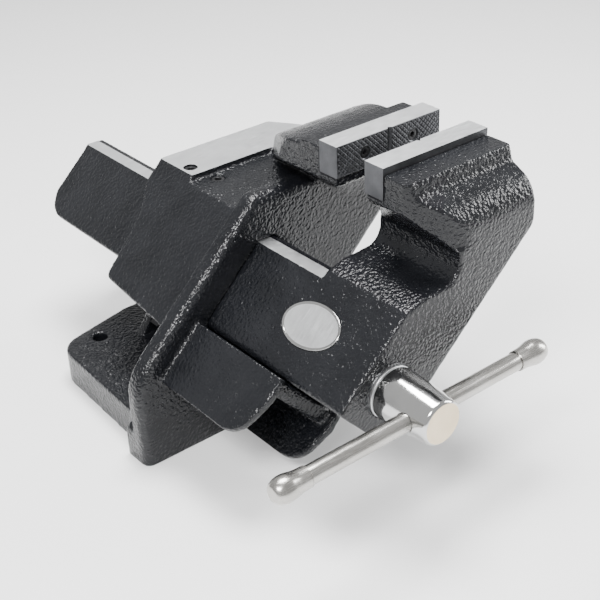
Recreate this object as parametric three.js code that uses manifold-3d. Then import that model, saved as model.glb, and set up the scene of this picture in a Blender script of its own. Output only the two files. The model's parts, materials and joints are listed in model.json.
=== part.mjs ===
// Offset bench vise, 150 mm jaws. The body leans over to the right, so that the jaws overhang
// the bench beside the base and long work can hang down past it.
//
// Lengths are millimetres. Every piece is built in the jaw frame: its origin is the top, front,
// left corner of the rear jaw plate, +X runs along the jaws, -Y points at the person turning the
// handle and +Z is up. The last group moves that frame so that the part's origin lies on the
// bench face of the base.
//
// The slide, the sleeve around it and the screw are square to the leaning axes instead:
// p runs across the slide, away from the name badge, and l runs up along the lean.

import * as THREE from 'three';
import { mergeVertices } from 'three/addons/utils/BufferGeometryUtils.js';
import Module from 'manifold-3d';

const wasm = await Module();
wasm.setup();

// ---------------------------------------------------------------- driving dimensions

const LEAN = THREE.MathUtils.degToRad(47.6);
const SIN = Math.sin(LEAN);
const COS = Math.cos(LEAN);

const GAP = 0.3; // between pieces that touch
const JAW_WIDTH = 150;
const JAW_OPENING = 42.65;
const PLATE_DEPTH = 28;
const PLATE_HEIGHT = 36;
const LEDGE_Z = -8; // top of both jaw castings, below the plates' tops

const BENCH_Z = -348;
const BASE_TOP_Z = -305;
const BASE_CENTRE = { x: -86, y: 200 };
// The flange round the slide's mouth runs on down to the bench; its front leans back going up.
const FLANGE = { front: 86, thickness: 22, near: 27, far: 212, top: -76, left: -222, round: 10 };
const FLANGE_LEAN = 0.045;
const FLANGE_LEVEL = -133; // height at which the flange's front is at FLANGE.front
const SLEEVE_REAR_Y = 294;
const PLATFORM_Z = -105;
const ANVIL_Z = -98;
const ANVIL_FRONT_Y = 224;
const SLEEVE_NEAR_P = 50.8;
const SLEEVE_FAR_P = 180;
const BASE_RIGHT_X = 45;
const BASE_FRONT_Y = 96;

const SLIDE = { near: 66.8, far: 163.5, bottom: -228.5, top: -101.5, strip: -128.7, rear: 457 };
const SLIDE_CLEARANCE = 0.5;
const FACE_Y = -143; // front face of the front jaw casting
const SADDLE_REAR_Y = -22;
const CHANNEL = { near: 81, far: 149, top: -137, front: -98 };

const CHEEK = { near: 53, far: 171, thickness: 9.5 };

const SCREW = { p: 115, l: -179, radius: 15 };
const HEAD = { base: FACE_Y - 2.3, end: -217, radius: 29.5, endRadius: 25 };
const BAR = { radius: 10, y: -190, left: -246, right: 120, knobLength: 42, knobRadius: 14 };

const M8 = { radius: 4, headRadius: 6.5, headLength: 8, hex: 6 };
const M12 = { radius: 6, headAcross: 18, headLength: 7.5, washerRadius: 12, washerThickness: 2.5 };
const SET_SCREW = { radius: 8, hex: 8 };

// ---------------------------------------------------------------- solids

/** The closed geometry as a solid that can be joined and cut. */
function solid(geometry) {
  const bare = geometry.clone();
  bare.deleteAttribute('normal');
  bare.deleteAttribute('uv');
  const merged = mergeVertices(bare, 1e-4);
  const mesh = new wasm.Mesh({
    numProp: 3,
    vertProperties: new Float32Array(merged.attributes.position.array),
    triVerts: new Uint32Array(merged.index.array),
  });
  return new wasm.Manifold(mesh);
}

/** The solid's triangles as a geometry. */
function geometryOf(body) {
  const mesh = body.getMesh();
  const geometry = new THREE.BufferGeometry();
  geometry.setAttribute('position', new THREE.BufferAttribute(new Float32Array(mesh.vertProperties), 3));
  geometry.setIndex(Array.from(mesh.triVerts));
  geometry.computeVertexNormals();
  return geometry;
}

/** A point of the leaning axes, as [x, z] of the jaw frame. */
function lean(p, l) {
  return [p * COS + l * SIN, l * COS - p * SIN];
}

/** Height at which the plane across the lean at p passes a place along the jaws. */
function heightOn(p, x) {
  return (x * COS - p) / SIN;
}

/** A shape through corners [u, v, radius]: each corner with a radius becomes an arc. */
function outline(corners) {
  const shape = new THREE.Shape();
  const count = corners.length;
  for (let i = 0; i < count; i += 1) {
    const [u, v, radius = 0] = corners[i];
    const corner = new THREE.Vector2(u, v);
    const before = new THREE.Vector2(...corners[(i + count - 1) % count]).sub(corner).normalize();
    const after = new THREE.Vector2(...corners[(i + 1) % count]).sub(corner).normalize();
    const half = Math.acos(THREE.MathUtils.clamp(before.dot(after), -1, 1)) / 2;
    const start = corner.clone().addScaledVector(before, radius / Math.tan(half));
    if (i === 0) {
      shape.moveTo(start.x, start.y);
    } else {
      shape.lineTo(start.x, start.y);
    }
    if (radius > 0) {
      const middle = before.clone().add(after).normalize();
      const centre = corner.clone().addScaledVector(middle, radius / Math.sin(half));
      const end = corner.clone().addScaledVector(after, radius / Math.tan(half));
      const from = Math.atan2(start.y - centre.y, start.x - centre.x);
      const to = Math.atan2(end.y - centre.y, end.x - centre.x);
      const clockwise = before.cross(after) > 0;
      shape.absarc(centre.x, centre.y, radius, from, to, clockwise);
    }
  }
  shape.closePath();
  return shape;
}

const AXES = {
  // [direction of the outline's u, of its v, of the extrusion]
  x: [[0, 1, 0], [0, 0, 1], [1, 0, 0]],
  y: [[1, 0, 0], [0, 0, 1], [0, -1, 0]],
  z: [[1, 0, 0], [0, 1, 0], [0, 0, 1]],
  p: [[0, 1, 0], [SIN, 0, COS], [COS, 0, -SIN]],
};

/**
 * An outline extruded along one axis between two places on it. Outlines along x are drawn in
 * (y, z), along y in (x, z), along z in (x, y) and along p in (y, l).
 */
function extrusion(axis, corners, from, to, { bevel = 0, steps = 6 } = {}) {
  const shape = corners instanceof THREE.Shape ? corners : outline(corners);
  const geometry = new THREE.ExtrudeGeometry(shape, {
    depth: to - from - 2 * bevel,
    curveSegments: steps,
    bevelEnabled: bevel > 0,
    bevelThickness: bevel,
    bevelSize: bevel,
    bevelOffset: -bevel,
    bevelSegments: 5,
  });
  const [u, v, w] = AXES[axis].map((direction) => new THREE.Vector3(...direction));
  const start = axis === 'y' ? -to : from;
  geometry.translate(0, 0, start + bevel);
  geometry.applyMatrix4(new THREE.Matrix4().makeBasis(u, v, w));
  return geometry;
}

function extruded(...shape) {
  return solid(extrusion(...shape));
}

/** A block between two corners of the jaw frame. */
function block(low, high) {
  const size = high.map((value, i) => value - low[i]);
  const geometry = new THREE.BoxGeometry(...size);
  geometry.translate(...low.map((value, i) => value + size[i] / 2));
  return solid(geometry);
}

/** Turns +Y, the axis of three.js's round geometries, to a direction and moves it to a point. */
function place(geometry, point, direction) {
  const turn = new THREE.Quaternion().setFromUnitVectors(
    new THREE.Vector3(0, 1, 0),
    new THREE.Vector3(...direction).normalize(),
  );
  geometry.applyQuaternion(turn);
  geometry.translate(...point);
  return geometry;
}

/** A round bar from a point along a direction. */
function rod(point, direction, length, radius, sides = 32) {
  const geometry = new THREE.CylinderGeometry(radius, radius, length, sides);
  geometry.translate(0, length / 2, 0);
  return solid(place(geometry, point, direction));
}

/** A turned piece: profile [radius, distance] pairs from the axis back to the axis. */
function turned(point, direction, profile, sides = 40) {
  const points = profile.map(([radius, distance]) => new THREE.Vector2(radius, distance));
  return solid(place(new THREE.LatheGeometry(points, sides), point, direction));
}

/** A hexagonal socket or head from a point along a direction. */
function hexagon(point, direction, length, acrossFlats) {
  return rod(point, direction, length, acrossFlats / Math.sqrt(3), 6);
}

function union(first, ...others) {
  return others.reduce((sum, other) => sum.add(other), first);
}

// ---------------------------------------------------------------- places used by several pieces

const [SCREW_X, SCREW_Z] = lean(SCREW.p, SCREW.l);
const UP_LEAN = [SIN, 0, COS];
const JAW_SCREW_X = [JAW_WIDTH * 0.27, JAW_WIDTH * 0.73];
const JAW_SCREW_Z = -PLATE_HEIGHT / 2;
const NUT = { p: [85, 145], l: SLIDE.bottom - 0.2, top: -156, y: [150, 216], boltY: [164, 202] };
const FLOOR_L = -252; // underside of the sleeve at the nut
const ADJUSTERS = [
  { name: 'adjusting_screw_rear', x: -21, y: 246, z: ANVIL_Z - 2 },
  { name: 'adjusting_screw_front', x: -5, y: 213, z: PLATFORM_Z - 2 },
];
const GIB = { top: -122.5, y: [196, 262], right: 3 };
const BASE_HOLES = [[-148, 291], [-172, 166], [6, 291], [6, 150]];
const BASE_HOLE_RADIUS = 9;
const BADGE = { y: -46, l: -167.3, along: 41, across: 26, tilt: -0.09, thickness: 1.4, recess: 0.6 };

/** The slide's section as corners [x, z], grown by a clearance. */
function slideSection(grow, radius) {
  const near = SLIDE.near - grow;
  const strip = SLIDE.strip + grow;
  const top = SLIDE.top + grow;
  return [
    [...lean(near, SLIDE.bottom - grow), radius],
    [(near + strip * SIN) / COS, strip, 0],
    [(top - strip * COS) / SIN, strip, 0],
    [...lean(SLIDE.far + grow, top), radius],
    [...lean(SLIDE.far + grow, SLIDE.bottom - grow), radius],
  ];
}

// ---------------------------------------------------------------- fixed body

/** The square tube that the slide runs in, with the anvil pad on it. */
function sleeve() {
  const front = FLANGE.front + 4;
  const side = [
    [front, -260],
    [257, -246, 10],
    [269, -160, 40],
    [SLEEVE_REAR_Y, -124, 24],
    [SLEEVE_REAR_Y, 60],
    [front, 60],
  ];
  const tube = extruded('p', side, SLEEVE_NEAR_P, SLEEVE_FAR_P);
  const roof = block([-400, ANVIL_FRONT_Y, ANVIL_Z], [400, 600, 400]);
  const ceiling = block([-400, 0, PLATFORM_Z], [400, ANVIL_FRONT_Y + 1, 400]);
  const corner = [[134, SLEEVE_REAR_Y], [160, 254], [400, 254], [400, 400], [134, 400]];
  const chamfer = extruded('z', corner, -200, 0);
  return tube.subtract(roof).subtract(ceiling).subtract(chamfer);
}

/** Leans what was built upright so that its front follows the flange's. */
function leanBack(geometry) {
  const lean = new THREE.Matrix4().set(
    1, 0, 0, 0,
    0, 1, FLANGE_LEAN, -FLANGE_LEAN * FLANGE_LEVEL,
    0, 0, 1, 0,
    0, 0, 0, 1,
  );
  return geometry.applyMatrix4(lean);
}

/** The flange: a plate round the slide's mouth, with a rounded front edge. */
function flange() {
  const { front, thickness, near, far, top, left, round } = FLANGE;
  const low = BENCH_Z - 60;
  const corners = [
    [left, low],
    [left, heightOn(near, left), 62],
    [(near + top * SIN) / COS, top, 20],
    [JAW_WIDTH, top],
    [JAW_WIDTH, heightOn(far, JAW_WIDTH), 30],
    [BASE_RIGHT_X, heightOn(far, BASE_RIGHT_X)],
    [BASE_RIGHT_X, low],
  ];
  const whole = extrusion('y', corners, front, front + thickness + round, { bevel: round, steps: 8 });
  const behind = [[front + thickness, -500], [400, -500], [400, 0], [front + thickness, 0]];
  return solid(leanBack(whole)).subtract(solid(leanBack(extrusion('x', behind, -400, 400))));
}

/** The lower front of the casting, thickened to the base behind the flange. */
function apron() {
  const { front, left } = FLANGE;
  const corners = [
    [left, BENCH_Z],
    [left, BASE_TOP_Z, 12],
    [BASE_RIGHT_X, BASE_TOP_Z],
    [BASE_RIGHT_X, BENCH_Z],
  ];
  return extruded('y', corners, front, 116);
}

/** The bench plate with its rounded rear corner. */
function base() {
  const corners = [
    [-206, BASE_FRONT_Y],
    [BASE_RIGHT_X, BASE_FRONT_Y],
    [BASE_RIGHT_X, 331, 20],
    [-87, 331, 30],
    [-197, 306, 34],
  ];
  return extruded('z', corners, BENCH_Z, BASE_TOP_Z);
}

/** Webs between the base and the underside of the leaning sleeve. */
function webs() {
  const left = [[-112, -310], [-60, -310], [-60, -260], [-84, -270]];
  const right = [[-80, -310], [BASE_RIGHT_X - 6, -310], [BASE_RIGHT_X - 6, -212], [-60, -296]];
  return union(extruded('y', left, 254, 268), extruded('y', right, 226, 246));
}

/** The rear jaw: a head that overhangs its neck on the left and slopes down to the platform. */
function rearJaw() {
  const right = [JAW_WIDTH, heightOn(FLANGE.far, JAW_WIDTH), 30];
  const neck = [
    right,
    lean(FLANGE.far, -110),
    [84, -180],
    [84, -108, 8],
    [0, -45, 4],
    [0, LEDGE_Z, 1],
  ];
  const nose = [...neck, [JAW_WIDTH, LEDGE_Z, 2]];
  const back = [...neck, [JAW_WIDTH, LEDGE_Z, 34]];
  const side = new THREE.Shape();
  const mouth = FLANGE.front;
  side.moveTo(PLATE_DEPTH + GAP, LEDGE_Z);
  side.lineTo(58, LEDGE_Z);
  side.lineTo(60, LEDGE_Z - 4);
  side.quadraticCurveTo(140, -17, 226, -104);
  side.lineTo(226, -180);
  side.lineTo(mouth + 10, -250);
  side.lineTo(mouth, -106);
  side.quadraticCurveTo(76, -62, 30, -54);
  side.lineTo(2, -48);
  side.lineTo(2, -PLATE_HEIGHT - GAP);
  side.lineTo(PLATE_DEPTH + GAP, -PLATE_HEIGHT - GAP);
  side.closePath();
  const head = union(extruded('y', nose, 0, 60), extruded('y', back, 60, 240))
    .intersect(extruded('x', side, -400, 400, { steps: 9 }));
  return head.intersect(rearFlank());
}

/** What the rear jaw keeps on its left: the round rear end of the head runs back to the right. */
function rearFlank() {
  const reach = 99;
  const corners = [[-400, LEDGE_Z + 1], [reach, LEDGE_Z + 1, 42], [reach, -300], [-400, -300]];
  const slope = 1.44;
  const geometry = extrusion('x', corners, -400, 400);
  geometry.applyMatrix4(new THREE.Matrix4().set(
    1, 0, 0, 0,
    slope, 1, 0, 0,
    0, 0, 1, 0,
    0, 0, 0, 1,
  ));
  return solid(geometry);
}

/** The two cheeks under the slide, joined by a web that the slide runs over. */
function nose() {
  const under = SLIDE.bottom - 1;
  const behind = FLANGE.front + 10;
  const cheek = (bottom) => [
    [behind, under],
    [-65, under, 2],
    [-66, bottom + 50, 20],
    [-52, bottom, 32],
    [behind, bottom],
  ];
  const near = extruded('p', cheek(-306.5), CHEEK.near, CHEEK.near + CHEEK.thickness);
  const far = extruded('p', cheek(-301), CHEEK.far - CHEEK.thickness, CHEEK.far);
  const web = [[behind, under], [-54, under, 3], [-54, under - 20, 8], [behind, under - 20]];
  return union(near, far, extruded('p', web, CHEEK.near, CHEEK.far));
}

function fixedBody() {
  const casting = union(sleeve(), flange(), apron(), base(), webs(), rearJaw(), nose());
  const cuts = [
    extruded('y', slideSection(SLIDE_CLEARANCE, 8), 0, 600),
    block([-400, -400, BENCH_Z - 200], [400, 600, BENCH_Z]),
    extruded('y', gibSection(GAP), GIB.y[0] - GAP, GIB.y[1] + GAP),
  ];
  for (const [x, y] of BASE_HOLES) {
    cuts.push(rod([x, y, BENCH_Z - 10], [0, 0, 1], 80, BASE_HOLE_RADIUS, 24));
  }
  for (const { x, y, z } of ADJUSTERS) {
    cuts.push(rod([x, y, GIB.top], [0, 0, 1], z - GIB.top + 20, SET_SCREW.radius + GAP));
  }
  for (const x of JAW_SCREW_X) {
    cuts.push(rod([x, PLATE_DEPTH, JAW_SCREW_Z], [0, 1, 0], 22, M8.radius + GAP, 20));
  }
  for (const y of NUT.boltY) {
    const [x, z] = lean(SCREW.p, FLOOR_L - 20);
    cuts.push(rod([x, y, z], UP_LEAN, 60, M12.radius + 0.5, 24));
    cuts.push(rod([x, y, z], UP_LEAN, 20, M12.washerRadius + 4, 24));
  }
  return cuts.reduce((rest, cut) => rest.subtract(cut), casting);
}

// ---------------------------------------------------------------- front jaw and slide

/** The block that carries the front jaw plate, with the saddle beside its neck. */
function frontBlock() {
  const front = [
    [...lean(SLIDE.near, SLIDE.bottom), 6],
    [...lean(SLIDE.near, -107), 4],
    [-8, -115, 30],
    [39, -113.5, 20],
    [39.5, -83, 8],
    [0, -42, 4],
    [0, LEDGE_Z, 1],
    [JAW_WIDTH, LEDGE_Z, 2],
    [JAW_WIDTH, -86, 16],
    [...lean(SLIDE.far, SLIDE.bottom), 12],
  ];
  const seat = -JAW_OPENING - PLATE_DEPTH - GAP;
  const side = [
    [seat, LEDGE_Z],
    [-104, LEDGE_Z, 4],
    [-108.5, -24.5, 5],
    [FACE_Y, -40.5, 38],
    [FACE_Y, -400],
    [SADDLE_REAR_Y, -400],
    [SADDLE_REAR_Y, -84, 12],
    [-45, -60, 12],
    [-45, -PLATE_HEIGHT - GAP],
    [seat, -PLATE_HEIGHT - GAP],
  ];
  const whole = extruded('y', front, FACE_Y, SADDLE_REAR_Y).intersect(extruded('x', side, -400, 400));
  const corner = [[-60, -99], [0, -99, 8], [38.8, FACE_Y, 44], [75, FACE_Y - 0.2], [75, -200], [-60, -200]];
  return whole.subtract(extruded('z', corner, -79, 0));
}

function frontJaw() {
  const beam = extruded('y', slideSection(0, 8), SADDLE_REAR_Y - 30, SLIDE.rear);
  const relief = [
    [180, SLIDE.bottom - 1],
    [245, SLIDE.bottom + 10, 20],
    [SLIDE.rear + 1, SLIDE.bottom + 10, 38],
    [SLIDE.rear + 1, 0],
    [600, 0],
    [600, -400],
    [180, -400],
  ];
  const hollow = [
    [...lean(CHANNEL.near, -300)],
    [...lean(CHANNEL.near, CHANNEL.top), 12],
    [...lean(CHANNEL.far, CHANNEL.top), 12],
    [...lean(CHANNEL.far, -300)],
  ];
  const cuts = [
    extruded('y', hollow, CHANNEL.front, SLIDE.rear + 20),
    extruded('p', relief, 0, 300),
    rod([SCREW_X, FACE_Y - 20, SCREW_Z], [0, 1, 0], 80, SCREW.radius + 0.5),
    rod([SCREW_X, FACE_Y - 20, SCREW_Z], [0, 1, 0], 22.5, HEAD.radius + 0.5, 48),
    badgeSolid(BADGE.along + GAP, BADGE.across + GAP, -BADGE.recess, 10),
  ];
  for (const x of JAW_SCREW_X) {
    const y = -JAW_OPENING - PLATE_DEPTH;
    cuts.push(rod([x, y, JAW_SCREW_Z], [0, -1, 0], 22, M8.radius + GAP, 20));
  }
  return cuts.reduce((rest, cut) => rest.subtract(cut), frontBlock().add(beam));
}

// ---------------------------------------------------------------- name badge

/** An oval plate on the slide's near face, between two heights above that face. */
function badgeSolid(along, across, low, high) {
  const shape = new THREE.Shape();
  shape.absellipse(BADGE.y, BADGE.l, along, across, 0, Math.PI * 2, false, BADGE.tilt);
  return extruded('p', shape, SLIDE.near - high, SLIDE.near - low, { steps: 48 });
}

function badge() {
  const low = GAP - BADGE.recess;
  return badgeSolid(BADGE.along, BADGE.across, low, low + BADGE.thickness);
}

// ---------------------------------------------------------------- jaw plates and their screws

/** A hardened jaw plate with counterbored screw holes and a groove for round work. */
function jawPlate(face, toBack) {
  const back = face + toBack * PLATE_DEPTH;
  const low = Math.min(face, back);
  let plate = block([0, low, -PLATE_HEIGHT], [JAW_WIDTH, low + PLATE_DEPTH, 0]);
  for (const x of JAW_SCREW_X) {
    plate = plate.subtract(rod([x, face - toBack, JAW_SCREW_Z], [0, toBack, 0], 40, M8.radius + GAP, 20));
    const counterbore = rod([x, face - toBack, JAW_SCREW_Z], [0, toBack, 0], 11, M8.headRadius + GAP, 28);
    plate = plate.subtract(counterbore);
  }
  const half = 3.6;
  const middle = JAW_WIDTH / 2;
  const outside = face - toBack * 0.4;
  const vee = [[middle - half, outside], [middle + half, outside], [middle, face + toBack * half]];
  return plate.subtract(extruded('z', vee, -PLATE_HEIGHT - 10, 10));
}

/** A socket head cap screw whose head starts just below the plate's face. */
function jawScrew(x, face, toBack) {
  const head = [x, face + toBack * 1.5, JAW_SCREW_Z];
  const along = [0, toBack, 0];
  const body = union(
    rod(head, along, M8.headLength, M8.headRadius, 28),
    rod(head, along, M8.headLength + 36, M8.radius, 20),
  );
  return body.subtract(hexagon([x, face, JAW_SCREW_Z], along, 5.5, M8.hex));
}

// ---------------------------------------------------------------- screw, nut and handle

/** The screw with its head; the thread is modelled as the cylinder over its crests. */
function leadScrew() {
  const head = [
    [0, 0],
    [HEAD.radius - 1.5, 0],
    [HEAD.radius, 2],
    [HEAD.radius, 18],
    [HEAD.radius - 0.8, 30],
    [HEAD.radius - 2.2, 46],
    [HEAD.endRadius + 1, 62],
    [HEAD.endRadius, HEAD.base - HEAD.end - 2.5],
    [HEAD.endRadius - 2.5, HEAD.base - HEAD.end],
    [0, HEAD.base - HEAD.end],
  ];
  const shaftEnd = 405;
  return union(
    turned([SCREW_X, HEAD.base, SCREW_Z], [0, -1, 0], head, 48),
    rod([SCREW_X, HEAD.base - 5, SCREW_Z], [0, 1, 0], shaftEnd - HEAD.base + 5, SCREW.radius),
  )
    .subtract(rod([SCREW_X - 60, BAR.y, SCREW_Z], [1, 0, 0], 120, BAR.radius + 0.6))
    .subtract(rod(...collarPinLine(60, GAP)));
}

/** The hard washer between the screw's head and the casting. */
function thrustWasher() {
  const y = FACE_Y + 2.2;
  const length = y - HEAD.base - GAP;
  return rod([SCREW_X, y, SCREW_Z], [0, -1, 0], length, HEAD.radius)
    .subtract(rod([SCREW_X, y + 5, SCREW_Z], [0, -1, 0], 20, SCREW.radius + 0.4));
}

const COLLAR = { front: CHANNEL.front + GAP, length: 16, radius: 25, pinRadius: 4 };

/** Centre line of the collar's pin, as arguments for rod. */
function collarPinLine(length, grow) {
  const y = COLLAR.front + COLLAR.length / 2;
  const [x, z] = lean(SCREW.p, SCREW.l - length / 2);
  return [[x, y, z], UP_LEAN, length, COLLAR.pinRadius + grow, 20];
}

/** The collar behind the front wall, which pulls the jaw open. */
function retainingCollar() {
  return rod([SCREW_X, COLLAR.front, SCREW_Z], [0, 1, 0], COLLAR.length, COLLAR.radius)
    .subtract(rod([SCREW_X, -200, SCREW_Z], [0, 1, 0], 300, SCREW.radius + GAP))
    .subtract(rod(...collarPinLine(60, GAP)));
}

function collarPin() {
  return rod(...collarPinLine(COLLAR.radius * 2 - 1, 0));
}

/** The nut: a block that stands on the sleeve's floor inside the slide. */
function screwNut() {
  const [near, far] = NUT.p;
  const section = [
    [...lean(near, NUT.l)],
    [...lean(near, NUT.top), 18],
    [...lean(far, NUT.top), 18],
    [...lean(far, NUT.l)],
  ];
  let nut = extruded('y', section, ...NUT.y)
    .subtract(rod([SCREW_X, 0, SCREW_Z], [0, 1, 0], 300, SCREW.radius + GAP));
  for (const y of NUT.boltY) {
    const [x, z] = lean(SCREW.p, NUT.l - 1);
    nut = nut.subtract(rod([x, y, z], UP_LEAN, 27, M12.radius + GAP, 24));
  }
  return nut;
}

function nutBolt(y) {
  const top = FLOOR_L - M12.washerThickness - GAP;
  const [x, z] = lean(SCREW.p, top - M12.headLength);
  return union(
    hexagon([x, y, z], UP_LEAN, M12.headLength, M12.headAcross),
    rod([x, y, z], UP_LEAN, M12.headLength + 42, M12.radius, 24),
  );
}

function nutWasher(y) {
  const [x, z] = lean(SCREW.p, FLOOR_L - M12.washerThickness - GAP / 2);
  return rod([x, y, z], UP_LEAN, M12.washerThickness, M12.washerRadius, 28)
    .subtract(rod([x - 10 * SIN, y, z - 10 * COS], UP_LEAN, 20, M12.radius + GAP, 24));
}

function handleBar() {
  const inner = BAR.knobLength - 12;
  return rod([BAR.left + inner, BAR.y, SCREW_Z], [1, 0, 0], BAR.right - BAR.left - 2 * inner, BAR.radius, 36);
}

/** A pear-shaped knob pressed over the end of the bar. */
function handleKnob(end, outward) {
  const length = BAR.knobLength;
  const profile = [[0, length]];
  const rings = 9;
  for (let i = 1; i <= rings; i += 1) {
    const angle = (i / rings) * Math.PI * 0.62;
    profile.push([6 + (BAR.knobRadius - 6) * Math.sin(angle), length - 15 + 15 * Math.cos(angle)]);
  }
  profile.push([BAR.radius + 1.6, length - 31], [BAR.radius + 1.2, 0], [0, 0]);
  const inner = end - outward * length;
  return turned([inner, BAR.y, SCREW_Z], [outward, 0, 0], profile.reverse(), 36)
    .subtract(rod([inner - outward * 5, BAR.y, SCREW_Z], [outward, 0, 0], 17 + GAP, BAR.radius + GAP, 36));
}

// ---------------------------------------------------------------- slide adjustment

/** The gib between the slide's top corner and the adjusting screws, as corners [x, z]. */
function gibSection(grow) {
  const strip = SLIDE.strip + GAP - grow;
  const top = SLIDE.top + GAP - grow;
  const stripRight = (top - strip * COS) / SIN;
  const right = GIB.right + grow;
  return [
    [-38 - grow, strip],
    [stripRight, strip],
    [right, (top - right * SIN) / COS],
    [right, GIB.top + grow],
    [-38 - grow, GIB.top + grow],
  ];
}

function slideGib() {
  return extruded('y', gibSection(0), ...GIB.y);
}

function adjustingScrew({ x, y, z }) {
  const bottom = GIB.top + GAP;
  return rod([x, y, bottom], [0, 0, 1], z - bottom, SET_SCREW.radius)
    .subtract(hexagon([x, y, z - 7], [0, 0, 1], 10, SET_SCREW.hex));
}

// ---------------------------------------------------------------- assembly

const FINISH = {
  casting: { color: 0x2b2c30, roughness: 0.35, metalness: 0.3 },
  machined: { color: 0xc9cccd, roughness: 0.3, metalness: 0.9 },
  polished: { color: 0xd6d6d4, roughness: 0.12, metalness: 1 },
  satin: { color: 0xb9b8b4, roughness: 0.25, metalness: 1 },
  blackened: { color: 0x1b1b1c, roughness: 0.5, metalness: 0.7 },
  bronze: { color: 0xa9793b, roughness: 0.4, metalness: 0.9 },
  iron: { color: 0x55565a, roughness: 0.6, metalness: 0.8 },
};

const vise = new THREE.Group();
vise.position.set(-BASE_CENTRE.x, -BASE_CENTRE.y, -BENCH_Z);

function add(name, body, finish) {
  const mesh = new THREE.Mesh(geometryOf(body), new THREE.MeshStandardMaterial(FINISH[finish]));
  mesh.name = name;
  vise.add(mesh);
}

add('fixed_body', fixedBody(), 'casting');
add('rear_jaw_plate', jawPlate(0, 1), 'machined');
add('front_jaw', frontJaw(), 'casting');
add('front_jaw_plate', jawPlate(-JAW_OPENING, -1), 'machined');
['left', 'right'].forEach((side, i) => {
  add(`rear_jaw_screw_${side}`, jawScrew(JAW_SCREW_X[i], 0, 1), 'blackened');
  add(`front_jaw_screw_${side}`, jawScrew(JAW_SCREW_X[i], -JAW_OPENING, -1), 'blackened');
});
add('name_badge', badge(), 'satin');
add('lead_screw', leadScrew(), 'polished');
add('thrust_washer', thrustWasher(), 'machined');
add('retaining_collar', retainingCollar(), 'iron');
add('collar_pin', collarPin(), 'iron');
add('screw_nut', screwNut(), 'bronze');
['front', 'rear'].forEach((end, i) => {
  add(`nut_bolt_${end}`, nutBolt(NUT.boltY[i]), 'blackened');
  add(`nut_washer_${end}`, nutWasher(NUT.boltY[i]), 'machined');
});
add('handle_bar', handleBar(), 'satin');
add('handle_knob_left', handleKnob(BAR.left, -1), 'satin');
add('handle_knob_right', handleKnob(BAR.right, 1), 'satin');
add('slide_gib', slideGib(), 'bronze');
for (const adjuster of ADJUSTERS) {
  add(adjuster.name, adjustingScrew(adjuster), 'blackened');
}

const part = new THREE.Group();
part.add(vise);
export default part;
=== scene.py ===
"""Looks of the offset bench vise: remeshed castings, knurled plates, threads and finishes."""
import json
import math

import bmesh
import bpy
import numpy as np
from mathutils import Matrix, Vector, noise


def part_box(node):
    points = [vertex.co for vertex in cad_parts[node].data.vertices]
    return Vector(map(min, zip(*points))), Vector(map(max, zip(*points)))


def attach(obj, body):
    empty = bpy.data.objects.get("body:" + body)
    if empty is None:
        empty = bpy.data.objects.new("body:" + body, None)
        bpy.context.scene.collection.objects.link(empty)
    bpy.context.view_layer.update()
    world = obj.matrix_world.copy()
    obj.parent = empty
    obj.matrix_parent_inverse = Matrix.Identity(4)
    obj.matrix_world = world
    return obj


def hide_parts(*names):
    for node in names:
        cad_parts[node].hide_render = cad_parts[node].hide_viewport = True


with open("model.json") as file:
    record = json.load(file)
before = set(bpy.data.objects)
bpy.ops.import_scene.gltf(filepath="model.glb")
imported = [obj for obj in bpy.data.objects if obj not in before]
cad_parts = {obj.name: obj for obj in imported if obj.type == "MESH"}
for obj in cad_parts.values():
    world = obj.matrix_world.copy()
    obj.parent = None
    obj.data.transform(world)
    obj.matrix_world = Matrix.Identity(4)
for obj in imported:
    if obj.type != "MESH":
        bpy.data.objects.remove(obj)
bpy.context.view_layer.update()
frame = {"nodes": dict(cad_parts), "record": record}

LEAN = math.radians(47.6)
L_AXIS = Vector((math.sin(LEAN), 0, math.cos(LEAN)))
P_AXIS = Vector((L_AXIS.z, 0, -L_AXIS.x))
GAP = 0.0003
PLATE_SCREW_X = (0.0405, 0.1095)
PLATE_SCREW_DROP = 0.018
LEDGE_DROP = 0.008


def centre_of(node):
    low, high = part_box(node)
    return [(a + b) / 2 for a, b in zip(low, high)]


SCREW_X, _, SCREW_Z = centre_of("thrust_washer")
BAR_Y = centre_of("handle_bar")[1]
HEAD_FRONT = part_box("thrust_washer")[0][1] - GAP
HEAD_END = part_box("lead_screw")[0][1]
THREAD_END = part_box("lead_screw")[1][1]
LEDGE_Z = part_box("rear_jaw_plate")[1][2] - LEDGE_DROP
ANVIL_Z = next(m for m in frame["record"]["mounts"] if m["name"] == "anvil_face")["pos_m"][2]
STRIP_Z = 0.2193
SLIDE_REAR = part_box("front_jaw")[1][1]

# ---------------------------------------------------------------- materials


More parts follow.
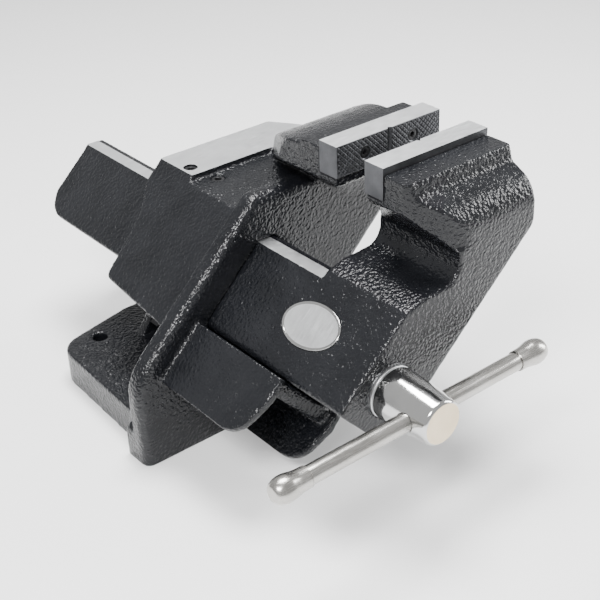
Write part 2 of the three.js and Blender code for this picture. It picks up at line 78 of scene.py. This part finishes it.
class Shader:
    """A node material with one Principled shader and coordinates fixed to the piece."""

    def __init__(self, name):
        self.material = bpy.data.materials.new(name)
        self.material.use_nodes = True
        self.tree = self.material.node_tree
        self.surface = self.tree.nodes["Principled BSDF"]
        self.place = self.tree.nodes.new("ShaderNodeTexCoord").outputs["Object"]

    def node(self, kind, **sockets):
        made = self.tree.nodes.new(kind)
        for name, value in sockets.items():
            self.put(made.inputs[name.replace("_", " ")], value)
        return made

    def put(self, socket, value):
        if isinstance(value, bpy.types.NodeSocket):
            self.tree.links.new(value, socket)
        else:
            socket.default_value = value

    def set(self, **sockets):
        for name, value in sockets.items():
            self.put(self.surface.inputs[name.replace("_", " ")], value)

    def stretched(self, scale):
        mapping = self.node("ShaderNodeMapping", Vector=self.place)
        mapping.inputs["Scale"].default_value = scale
        return mapping.outputs["Vector"]

    def noise(self, scale, detail=2.0, where=None):
        made = self.node("ShaderNodeTexNoise", Scale=scale, Detail=detail)
        self.put(made.inputs["Vector"], where or self.place)
        return made.outputs["Fac"]

    def cells(self, scale):
        made = self.node("ShaderNodeTexVoronoi", Scale=scale, Vector=self.place)
        made.feature = "SMOOTH_F1"
        made.inputs["Smoothness"].default_value = 0.6
        return made.outputs["Distance"]

    def between(self, fac, low, high):
        made = self.node("ShaderNodeMapRange", Value=fac)
        made.inputs["From Min"].default_value = 0.3
        made.inputs["From Max"].default_value = 0.7
        made.inputs["To Min"].default_value = low
        made.inputs["To Max"].default_value = high
        return made.outputs["Result"]

    def blend(self, fac, first, second):
        made = self.tree.nodes.new("ShaderNodeMix")
        made.data_type = "RGBA"
        self.put(made.inputs[0], fac)
        self.put(made.inputs[6], (*first, 1))
        self.put(made.inputs[7], (*second, 1))
        return made.outputs[2]

    def bump(self, height, strength, distance, under=None):
        made = self.node("ShaderNodeBump", Height=height, Strength=strength, Distance=distance)
        if under:
            self.put(made.inputs["Normal"], under)
        return made.outputs["Normal"]


def enamel():
    s = Shader("hammer_enamel")
    tone = s.blend(s.between(s.noise(22, 4), 0, 1), (0.004, 0.0044, 0.0056), (0.008, 0.0085, 0.0102))
    peel = s.bump(s.noise(330, 1.2), 0.9, 0.0013)
    dimples = s.bump(s.cells(230), 0.6, 0.0012, peel)
    s.set(Base_Color=tone, Metallic=0.0, Roughness=s.between(s.noise(60, 3), 0.17, 0.25))
    s.set(Specular_IOR_Level=0.32, Normal=dimples)
    return s.material


def metal(name, dark, light, rough, brush=(40, 1600, 1600), strength=0.08, metallic=1.0):
    s = Shader(name)
    lines = s.noise(1.0, 3, s.stretched(brush))
    tone = s.blend(s.between(s.noise(30, 3), 0, 1), dark, light)
    s.set(Base_Color=tone, Metallic=metallic)
    s.set(Roughness=s.between(lines, rough[0], rough[1]), Normal=s.bump(lines, strength, 0.0002))
    return s.material


ENAMEL = enamel()
MACHINED = metal(
    "ground_steel", (0.76, 0.77, 0.78), (0.86, 0.87, 0.88),
    (0.3, 0.46), (60, 1400, 60), 0.15)
CHROME = metal(
    "polished_steel", (0.46, 0.46, 0.46), (0.56, 0.56, 0.55),
    (0.07, 0.15), (90, 900, 90), 0.03)
CREAM = metal(
    "turned_face", (0.66, 0.54, 0.36), (0.76, 0.64, 0.46),
    (0.35, 0.5), (300, 300, 300), 0.05, 0.35)
SATIN = metal(
    "satin_nickel", (0.36, 0.35, 0.33), (0.46, 0.45, 0.43),
    (0.2, 0.32), (50, 900, 900), 0.06)
BLACK = metal(
    "blackened_steel", (0.014, 0.014, 0.015), (0.03, 0.03, 0.032),
    (0.3, 0.5), (300, 300, 300), 0.1, 0.6)
# Dark steel for the knurled gripping faces, also used as painted shade on the plates' plain end, back
# and hole faces.
KNURL_AND_PAINTED_SHADE = metal(
    "dark_steel_and_painted_shade", (0.045, 0.046, 0.05), (0.09, 0.092, 0.098),
    (0.3, 0.5), (500, 500, 500), 0.1, 0.85)
BRONZE = metal(
    "bronze", (0.52, 0.31, 0.12), (0.62, 0.40, 0.17),
    (0.28, 0.45), (60, 1200, 60), 0.12)
IRON = metal(
    "turned_iron", (0.20, 0.20, 0.21), (0.30, 0.30, 0.31),
    (0.35, 0.55), (60, 1200, 60), 0.12)

# ---------------------------------------------------------------- mesh helpers


def mesh_object(name, verts, faces, *materials):
    mesh = bpy.data.meshes.new(name)
    mesh.from_pydata([tuple(v) for v in verts], [], [tuple(f) for f in faces])
    mesh.validate()
    piece = bpy.data.objects.new(name, mesh)
    bpy.context.scene.collection.objects.link(piece)
    for material in materials:
        mesh.materials.append(material)
    return piece


def plain_copy(node, name, *materials):
    """The CAD node's surface, welded and with its flat faces joined up."""
    source = frame["nodes"][node].data
    verts = [v.co[:] for v in source.vertices]
    faces = [p.vertices[:] for p in source.polygons]
    piece = mesh_object(name, verts, faces, *materials)
    bm = bmesh.new()
    bm.from_mesh(piece.data)
    bmesh.ops.remove_doubles(bm, verts=bm.verts, dist=1e-5)
    bmesh.ops.dissolve_limit(bm, angle_limit=math.radians(0.6), verts=bm.verts, edges=bm.edges)
    bm.to_mesh(piece.data)
    bm.free()
    return piece


def face_outward(piece):
    """Turns every face of a closed piece outward."""
    bm = bmesh.new()
    bm.from_mesh(piece.data)
    bmesh.ops.recalc_face_normals(bm, faces=bm.faces)
    bm.to_mesh(piece.data)
    bm.free()


def apply_modifiers(piece):
    """Bakes the modifiers of a piece into its mesh."""
    depsgraph = bpy.context.evaluated_depsgraph_get()
    made = bpy.data.meshes.new_from_object(piece.evaluated_get(depsgraph))
    old = piece.data
    piece.modifiers.clear()
    piece.data = made
    bpy.data.meshes.remove(old)
    return piece


def smooth_shaded(piece, degrees=35):
    piece.data.polygons.foreach_set("use_smooth", [True] * len(piece.data.polygons))
    piece.data.set_sharp_from_angle(angle=math.radians(degrees))
    return piece


def bevelled(piece, width, segments=3):
    bevel = piece.modifiers.new("bevel", "BEVEL")
    bevel.width = width
    bevel.segments = segments
    bevel.limit_method = "ANGLE"
    bevel.angle_limit = math.radians(28)
    return smooth_shaded(apply_modifiers(piece))


def minus(piece, cutter):
    """Cuts one closed mesh out of another and throws the cutter away."""
    cut = piece.modifiers.new("cut", "BOOLEAN")
    cut.operation = "DIFFERENCE"
    cut.solver = "EXACT"
    cut.object = cutter
    apply_modifiers(piece)
    bpy.data.objects.remove(cutter)
    return piece


def points_of(piece):
    co = np.empty(len(piece.data.vertices) * 3, np.float32)
    piece.data.vertices.foreach_get("co", co)
    return co.reshape(-1, 3)


def set_points(piece, co):
    piece.data.vertices.foreach_set("co", co.astype(np.float32).ravel())
    piece.data.update()


def lathe(name, origin, axis, profile, *materials, segments=96):
    """Turns (radius, along) in metres round an axis; radius 0 at an end closes it in a point."""
    axis = Vector(axis).normalized()
    side = axis.orthogonal().normalized()
    up = axis.cross(side)
    origin = Vector(origin)
    verts, faces = [], []
    rings = []
    for radius, along in profile:
        start = len(verts)
        if radius <= 0:
            verts.append(origin + axis * along)
            rings.append([start] * segments)
            continue
        for i in range(segments):
            turn = math.tau * i / segments
            verts.append(origin + axis * along + (side * math.cos(turn) + up * math.sin(turn)) * radius)
        rings.append(list(range(start, start + segments)))
    for low, high in zip(rings, rings[1:]):
        for i in range(segments):
            j = (i + 1) % segments
            face = [low[i], low[j], high[j], high[i]]
            faces.append(list(dict.fromkeys(face)))
    return mesh_object(name, verts, faces, *materials)


def rounded(profile, radius=0.0008, steps=4):
    """Rounds each inner corner of a turned profile."""
    made = [profile[0]]
    for before, here, after in zip(profile, profile[1:], profile[2:]):
        a, b, c = Vector(before), Vector(here), Vector(after)
        reach = min(radius, (a - b).length * 0.45, (c - b).length * 0.45)
        start = b + (a - b).normalized() * reach
        end = b + (c - b).normalized() * reach
        for i in range(steps + 1):
            t = i / steps
            point = start * (1 - t) ** 2 + b * 2 * t * (1 - t) + end * t ** 2
            made.append((point.x, point.y))
    made.append(profile[-1])
    return made


def finished(piece, body, slot, *replaced):
    """Hangs a piece on its body in place of CAD nodes; the slot argument is not used."""
    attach(piece, body)
    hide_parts(*replaced)
    return piece


# ---------------------------------------------------------------- castings


def bumps(co, normals, amount):
    """Moves each point along its normal by the slow unevenness of a sand casting."""
    for i in range(len(co)):
        point = Vector(co[i])
        height = noise.noise(point * 210) * 0.7 + noise.noise(point * 60) * 0.25
        co[i] += normals[i] * (height * amount)


def cut_flat(piece, cuts):
    """Each cut lifts the surface in a box over a plane, then trims it flat and crisp there."""
    co = points_of(piece)
    for point, normal, low, high in cuts:
        inside = np.all((co > low) & (co < high), axis=1)
        height = (co - point) @ np.array(normal)
        lift = np.clip((height + 0.008) / 0.006, 0, 1) * 0.0011
        co[inside] += (lift[:, None] * np.array(normal))[inside]
    set_points(piece, co)
    bm = bmesh.new()
    bm.from_mesh(piece.data)
    for point, normal, low, high in cuts:
        low, high, normal, point = Vector(low), Vector(high), Vector(normal), Vector(point)
        near = []
        for face in bm.faces:
            c = face.calc_center_median()
            if abs((c - point).dot(normal)) < 0.005 and all(low[i] < c[i] < high[i] for i in range(3)):
                near.append(face)
        verts = {v for f in near for v in f.verts}
        edges = {e for f in near for e in f.edges}
        made = bmesh.ops.bisect_plane(
            bm, geom=[*verts, *edges, *near], dist=1e-5, plane_co=point, plane_no=normal)
        above = {v for item in made["geom"] if isinstance(item, bmesh.types.BMFace) for v in item.verts}
        for v in above:
            height = (v.co - point).dot(normal)
            if height > 0:
                v.co -= normal * height
    bm.to_mesh(piece.data)
    bm.free()


def cast(node, name, cuts, bright, voxel=0.0016, passes=14):
    """The casting: rounded edges and fillets, an uneven skin and crisp machined faces."""
    piece = plain_copy(node, name, ENAMEL, MACHINED)
    remesh = piece.modifiers.new("remesh", "REMESH")
    remesh.mode = "VOXEL"
    remesh.voxel_size = voxel
    smooth = piece.modifiers.new("smooth", "SMOOTH")
    smooth.factor = 0.5
    smooth.iterations = passes
    apply_modifiers(piece)
    co = points_of(piece)
    normals = np.empty(len(co) * 3, np.float32)
    piece.data.vertices.foreach_get("normal", normals)
    bumps(co, normals.reshape(-1, 3), 0.0003)
    set_points(piece, co)
    cut_flat(piece, cuts)
    low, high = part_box(node)
    co = np.clip(points_of(piece), np.array(low), np.array(high))
    set_points(piece, co)
    paint_flats(piece, bright)
    return smooth_shaded(piece, 32)


def paint_flats(piece, bright):
    """Gives the second material to faces that lie on a machined plane."""
    mesh = piece.data
    for polygon in mesh.polygons:
        centre, way = polygon.center, polygon.normal
        polygon.material_index = 0
        for point, normal, low, high in bright:
            outward = Vector(normal)
            flat = abs((centre - Vector(point)).dot(outward)) < 0.0001 and way.dot(outward) > 0.9
            if flat and all(low[i] < centre[i] < high[i] for i in range(3)):
                polygon.material_index = 1


# A machined plane: a point on it, its outward normal, and the box in which it is cut.
UP = (0, 0, 1)
ANVIL = ((0, 0, ANVIL_Z), UP, (-0.2, 0.018, 0.238), (0.32, 0.1, 0.262))
BENCH = ((0, 0, 0), (0, 0, -1), (-0.4, -0.3, -0.01), (0.4, 0.4, 0.01))
REAR_LEDGE = ((0, 0, LEDGE_Z), UP, (0.07, -0.175, 0.330), (0.25, -0.140, 0.35))
FRONT_LEDGE = ((0, 0, LEDGE_Z), UP, (0.07, -0.306, 0.330), (0.25, -0.268, 0.35))
STRIP = ((0, 0, STRIP_Z), UP, (-0.1, -0.221, 0.21), (0.06, 0.30, 0.23))
SLIDE_END = ((0, SLIDE_REAR, 0), (0, 1, 0), (-0.3, 0.24, -0.1), (0.4, 0.27, 0.4))

fixed = cast("fixed_body", "fixed_casting", [ANVIL, BENCH, REAR_LEDGE], [ANVIL, BENCH])
finished(fixed, "body", "casting", "fixed_body")
moving = cast("front_jaw", "moving_casting", [STRIP, SLIDE_END, FRONT_LEDGE], [STRIP, SLIDE_END])
finished(moving, "slide", "casting", "front_jaw")

# ---------------------------------------------------------------- jaw plates


def knurl_depth(x, z, width, height):
    """Depth of the crossed grooves and the middle vee at a place on a plate's face."""
    pitch, deep = 0.0045, 0.0009
    edge = min(x, width - x, z, height - z)
    across = [((x + z * way) / math.sqrt(2) / pitch) % 1 for way in (1, -1)]
    groove = max(deep - pitch * min(f, 1 - f) for f in across)
    cut = max(0.0, groove) if edge > 0.0012 else 0.0
    vee = max(0.0, 0.0036 - abs(x - width / 2))
    chamfer = max(0.0, 0.0006 - edge)
    return max(cut, vee, chamfer)


def plate(node, name, toward):
    """A jaw plate; toward is +1 when its gripping face looks to +Y."""
    low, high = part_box(node)
    width, height = high[0] - low[0], high[2] - low[2]
    face_y = high[1] if toward > 0 else low[1]
    back_y = low[1] if toward > 0 else high[1]
    nx, nz = 300, 72
    verts, faces = [], []
    for k in range(nz + 1):
        for i in range(nx + 1):
            x, z = width * i / nx, height * k / nz
            verts.append((low[0] + x, face_y - toward * knurl_depth(x, z, width, height), low[2] + z))
    for k in range(nz):
        for i in range(nx):
            a = k * (nx + 1) + i
            faces.append((a, a + 1, a + nx + 2, a + nx + 1))
    rim = list(range(nx)) + [nx + k * (nx + 1) for k in range(nz)]
    rim += [nz * (nx + 1) + i for i in range(nx, 0, -1)] + [k * (nx + 1) for k in range(nz, 0, -1)]
    start = len(verts)
    verts += [(verts[i][0], back_y, verts[i][2]) for i in rim]
    count = len(rim)
    for i in range(count):
        j = (i + 1) % count
        faces.append((rim[j], rim[i], start + i, start + j))
    faces.append(tuple(range(start, start + count)))
    piece = mesh_object(name, verts, faces, MACHINED, KNURL_AND_PAINTED_SHADE)
    face_outward(piece)
    for x in PLATE_SCREW_X:
        top = (low[0] + x, face_y, high[2] - PLATE_SCREW_DROP)
        profile = [(0, -0.002), (0.0083, -0.002), (0.0083, 0.0002), (0.0068, 0.0012), (0.0068, 0.0102)]
        profile += [(0.0043, 0.0102), (0.0043, 0.04), (0, 0.04)]
        minus(piece, lathe("cutter", top, (0, -toward, 0), profile, segments=64))
    # Only the top face gets bright ground steel; every other face gets the dark steel, which is painted
    # shade on the plain end, back and hole faces.
    for polygon in piece.data.polygons:
        top = polygon.normal.z > 0.9 and polygon.center.z > high[2] - 0.001
        polygon.material_index = 0 if top else 1
    return smooth_shaded(piece, 25)


finished(plate("rear_jaw_plate", "rear_plate", -1), "body", "machined", "rear_jaw_plate")
finished(plate("front_jaw_plate", "front_plate", 1), "slide", "machined", "front_jaw_plate")

# ---------------------------------------------------------------- screw head, thread and handle


def screw_head():
    """The polished head with its cross hole and its duller end face."""
    long = HEAD_FRONT - HEAD_END
    head = [(0, 0), (0.028, 0), (0.0295, 0.002), (0.0295, 0.018), (0.0287, 0.030), (0.0273, 0.046)]
    head += [(0.0257, 0.062), (0.025, long - 0.0025), (0.0225, long), (0.0105, long), (0, long)]
    piece = lathe("screw_head", (SCREW_X, HEAD_FRONT, SCREW_Z), (0, -1, 0), rounded(head, 0.002, 6),
                  CHROME, CREAM, segments=144)
    reach = [(0, 0), (0.0126, 0), (0.0106, 0.0055), (0.0106, 0.0645), (0.0126, 0.070), (0, 0.070)]
    minus(piece, lathe("cutter", (SCREW_X - 0.035, BAR_Y, SCREW_Z), (1, 0, 0), reach, segments=72))
    for polygon in piece.data.polygons:
        face = polygon.normal.y < -0.93 and polygon.center.y < -0.4155
        polygon.material_index = 1 if face else 0
    smooth_shaded(piece, 30)
    return finished(piece, "screw", "polished", "lead_screw")


def screw_thread():
    """The long trapezoidal thread behind the head."""
    pitch, crest, root = 0.006, 0.0149, 0.0116
    first, last, around = HEAD_FRONT - 0.004, THREAD_END, 40
    rings = int((last - first) / pitch * 14)
    verts, faces = [], []
    for k in range(rings + 1):
        y = first + (last - first) * k / rings
        taper = min(1, (last - y) / 0.004)
        for i in range(around):
            turn = math.tau * i / around
            phase = (y / pitch - i / around) % 1
            rise = min(1, max(0, 0.5 - abs(phase - 0.5) - 0.16) / 0.14)
            radius = root + (crest - root) * (rise if y > HEAD_FRONT + 0.05 else 1) * (0.4 + 0.6 * taper)
            verts.append((SCREW_X + math.cos(turn) * radius, y, SCREW_Z + math.sin(turn) * radius))
    for k in range(rings):
        for i in range(around):
            a, b = k * around + i, k * around + (i + 1) % around
            faces.append((a, a + around, b + around, b))
    faces.append(tuple(range(around)))
    faces.append(tuple(reversed(range(rings * around, (rings + 1) * around))))
    thread = smooth_shaded(mesh_object("screw_thread", verts, faces, IRON), 30)
    return finished(thread, "screw", "polished", "lead_screw")


def knob(node, name, outward):
    """A pear-shaped knob with a fine joint line where it meets the bar."""
    low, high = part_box(node)
    inner = low[0] if outward > 0 else high[0]
    length = high[0] - low[0]
    profile = [(0, 0.017), (0.0103, 0.017), (0.0103, 0.0008), (0.0110, 0.0008)]
    profile += [(0.0113, 0.0011), (0.0113, 0.0016)]
    profile += [(0.0109, 0.0018), (0.0109, 0.0022), (0.0113, 0.0025), (0.0116, length - 0.031)]
    profile.append((0.0122, length - 0.0265))
    for i in range(32, -1, -1):
        turn = i / 32 * math.pi * 0.62
        profile.append((0.006 + 0.008 * math.sin(turn), length - 0.015 + 0.015 * math.cos(turn)))
    profile.append((0.003, length))
    profile.append((0, length))
    made = lathe(name, (inner, BAR_Y, SCREW_Z), (outward, 0, 0), profile, SATIN)
    return finished(smooth_shaded(made, 40), "handle", "satin", node)


def bar():
    low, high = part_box("handle_bar")
    length = high[0] - low[0]
    profile = rounded([(0, 0), (0.010, 0), (0.010, length), (0, length)], 0.0012)
    middle = [(0.010, length * i / 12) for i in range(1, 12)]
    profile = profile[:len(profile) // 2] + middle + profile[len(profile) // 2:]
    made = lathe("bar", (low[0], BAR_Y, SCREW_Z), (1, 0, 0), profile, SATIN)
    return finished(smooth_shaded(made, 40), "handle", "satin", "handle_bar")


screw_head()
screw_thread()
knob("handle_knob_left", "knob_left", -1)
knob("handle_knob_right", "knob_right", 1)
bar()

# ---------------------------------------------------------------- badge and small parts


def badge():
    """A blank oval badge: bright rolled rim round a slightly domed field."""
    centre = Vector(centre_of("name_badge"))
    out = -P_AXIS
    along = Vector((0, 1, 0))
    tilt = -0.09
    a_axis = along * math.cos(tilt) + L_AXIS * math.sin(tilt)
    b_axis = L_AXIS * math.cos(tilt) - along * math.sin(tilt)
    rings = [(0, -0.0007), (0, 0.0003), (0.0003, 0.0006), (0.0009, 0.0007), (0.0018, 0.0006)]
    rings += [(0.0023, 0.0002), (0.0032, 0.0001), (0.010, 0.0003), (0.018, 0.0004)]
    segments = 128
    verts, faces = [], []
    for inset, height in rings:
        for i in range(segments):
            turn = math.tau * i / segments
            a, b = 0.0408 - inset, 0.0258 - inset
            level = centre + out * height
            verts.append(level + a_axis * a * math.cos(turn) + b_axis * b * math.sin(turn))
    for k in range(len(rings) - 1):
        for i in range(segments):
            j = (i + 1) % segments
            here, above = k * segments, (k + 1) * segments
            faces.append((here + i, here + j, above + j, above + i))
    faces.append(tuple(range(segments))[::-1])
    faces.append(tuple(range((len(rings) - 1) * segments, len(rings) * segments)))
    piece = mesh_object("oval_badge", verts, faces, CHROME, MACHINED)
    face_outward(piece)
    for polygon in piece.data.polygons:
        local = polygon.center - centre
        a, b = local.dot(a_axis) / 0.0380, local.dot(b_axis) / 0.0230
        polygon.material_index = 1 if a * a + b * b < 1 and local.dot(out) > 0 else 0
    return finished(smooth_shaded(piece, 50), "slide", "satin", "name_badge")


badge()

SMALL = [
    ("rear_jaw_screw_left", "body", "blackened", BLACK, 0.0003),
    ("rear_jaw_screw_right", "body", "blackened", BLACK, 0.0003),
    ("front_jaw_screw_left", "slide", "blackened", BLACK, 0.0003),
    ("front_jaw_screw_right", "slide", "blackened", BLACK, 0.0003),
    ("thrust_washer", "slide", "machined", MACHINED, 0.0004),
    ("retaining_collar", "screw", "iron", IRON, 0.0006),
    ("collar_pin", "screw", "iron", IRON, 0.0005),
    ("screw_nut", "body", "bronze", BRONZE, 0.0009),
    ("nut_bolt_front", "body", "blackened", BLACK, 0.0005),
    ("nut_bolt_rear", "body", "blackened", BLACK, 0.0005),
    ("nut_washer_front", "body", "machined", MACHINED, 0.0003),
    ("nut_washer_rear", "body", "machined", MACHINED, 0.0003),
    ("slide_gib", "body", "bronze", BRONZE, 0.0005),
    ("adjusting_screw_rear", "body", "blackened", BLACK, 0.0004),
    ("adjusting_screw_front", "body", "blackened", BLACK, 0.0004),
]
for node, body, slot, finish, width in SMALL:
    finished(bevelled(plain_copy(node, node + "_piece", finish), width), body, slot, node)

# ---------------------------------------------------------------- stage


def area_light(name, place, target, size, power, color=(1, 1, 1)):
    light = bpy.data.lights.new(name, "AREA")
    light.shape = "RECTANGLE"
    light.size, light.size_y = size
    light.energy = power
    light.color = color
    lamp = bpy.data.objects.new(name, light)
    bpy.context.scene.collection.objects.link(lamp)
    lamp.location = place
    lamp.rotation_euler = (Vector(target) - Vector(place)).to_track_quat("-Z", "Y").to_euler()


def stage():
    """Pale floor, even sky and three soft lamps."""
    size = 8
    corners = [(-size, -size, 0), (size, -size, 0), (size, size, 0), (-size, size, 0)]
    s = Shader("pale_floor")
    s.set(Base_Color=s.blend(s.noise(3, 2), (0.86, 0.86, 0.86), (0.9, 0.9, 0.9)), Roughness=0.7)
    floor = mesh_object("floor", [(x, y, -0.0006) for x, y, _ in corners], [(0, 1, 2, 3)], s.material)
    world = bpy.data.worlds.new("studio")
    world.use_nodes = True
    world.node_tree.nodes["Background"].inputs["Color"].default_value = (1, 1, 1, 1)
    world.node_tree.nodes["Background"].inputs["Strength"].default_value = 0.75
    bpy.context.scene.world = world
    area_light("key", (-1.3, -1.0, 1.9), (0, 0, 0.15), (0.9, 0.6), 85)
    area_light("top", (0.3, 0.2, 2.0), (0, 0, 0.2), (1.0, 0.8), 85)
    area_light("side", (1.8, -1.0, 0.9), (0.05, -0.1, 0.2), (0.5, 1.2), 40)


def camera():
    """The camera, at the front left and rolled by about two degrees."""
    turn = math.radians(-2.238)
    right, up = Vector((0.7863, -0.6179, 0)), Vector((0.3179, 0.4046, 0.8575))
    back = Vector((-0.5298, -0.6742, 0.5145))
    x_axis = right * math.cos(turn) + up * math.sin(turn)
    y_axis = up * math.cos(turn) - right * math.sin(turn)
    data = bpy.data.cameras.new("camera")
    data.lens = 73.2
    data.sensor_width = 36
    eye = bpy.data.objects.new("camera", data)
    bpy.context.scene.collection.objects.link(eye)
    turned = Matrix((x_axis, y_axis, back)).transposed().to_4x4()
    eye.matrix_world = Matrix.Translation((-0.6635, -1.0832, 0.8615)) @ turned
    bpy.context.scene.camera = eye


stage()
camera()
